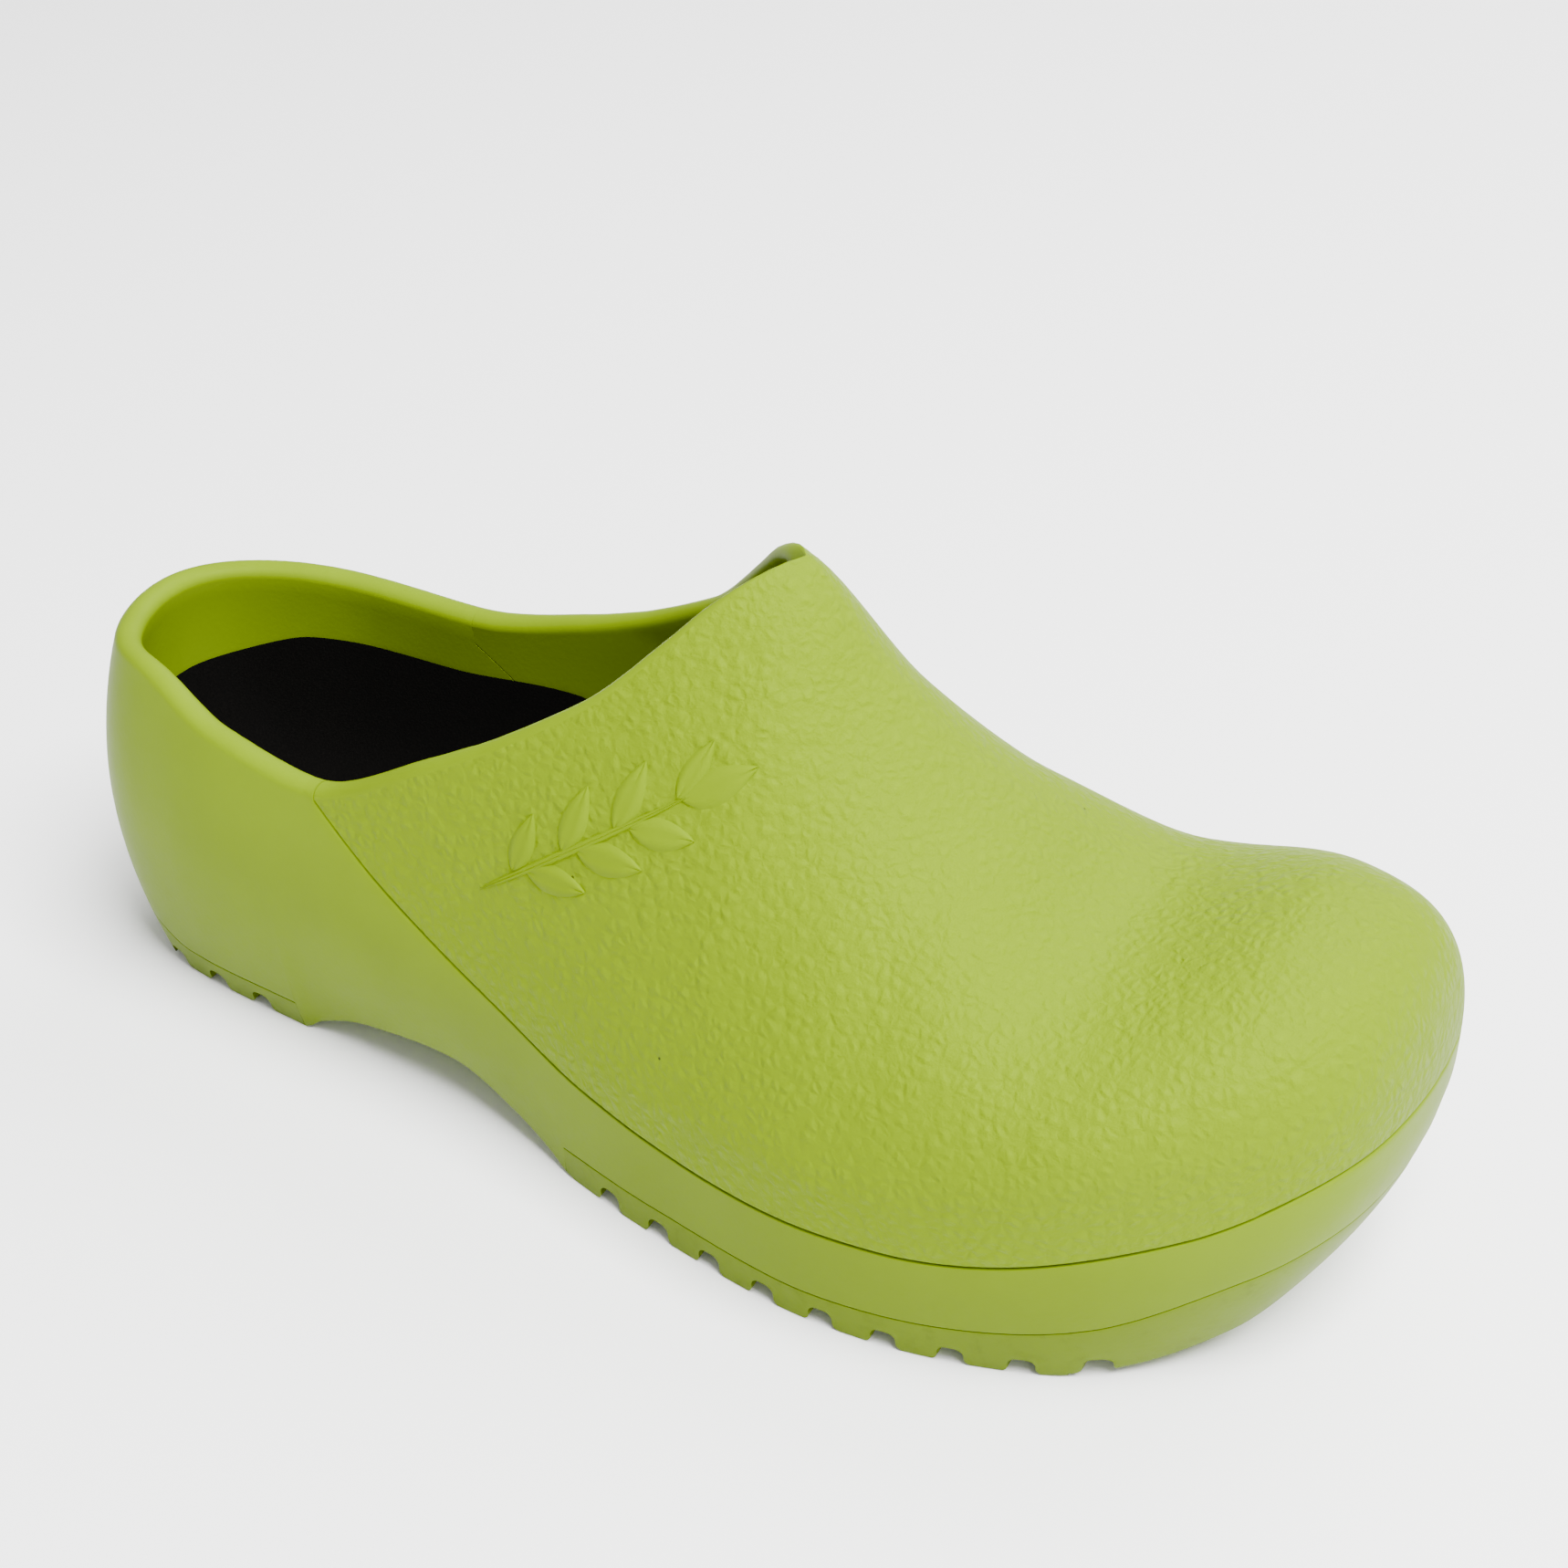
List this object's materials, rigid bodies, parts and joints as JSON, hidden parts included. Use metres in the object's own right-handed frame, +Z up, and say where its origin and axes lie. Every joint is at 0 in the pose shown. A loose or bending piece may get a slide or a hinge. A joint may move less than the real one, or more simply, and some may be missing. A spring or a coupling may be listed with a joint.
{
  "type": "garden clog",
  "caption": "Right-foot slip-on garden clog: moulded one-colour shell with grained upper, grooved treads and a loose cork footbed that lifts at the heel.",
  "frame": {"origin": "on the ground, under the middle of the clog's bounding box", "axes": "+X from heel to toe, +Y to the medial (big toe) side, +Z up"},
  "size_m": [0.279, 0.1064, 0.122],
  "materials": {
    "upper_grained": "satin, leather-grained",
    "sole_smooth": "satin, smooth",
    "tread": "matt",
    "microfibre": "short nap",
    "jute": "coarse weave",
    "cork": "granular"
  },
  "bodies": {
    "shell": {"upper": "upper_grained", "sole_unit": "sole_smooth", "ball_tread": "tread", "heel_tread": "tread"},
    "footbed": {"footbed_cover": "microfibre", "footbed_textile": "jute", "footbed_core": "cork", "footbed_base": "jute"}
  },
  "joints": [
    {"name": "footbed_heel_lift", "type": "hinge", "parent": "shell", "child": "footbed", "pos_m": [0.123, 0, 0.024], "axis": [0, 1, 0], "range_deg": [0, 5]}
  ]
}
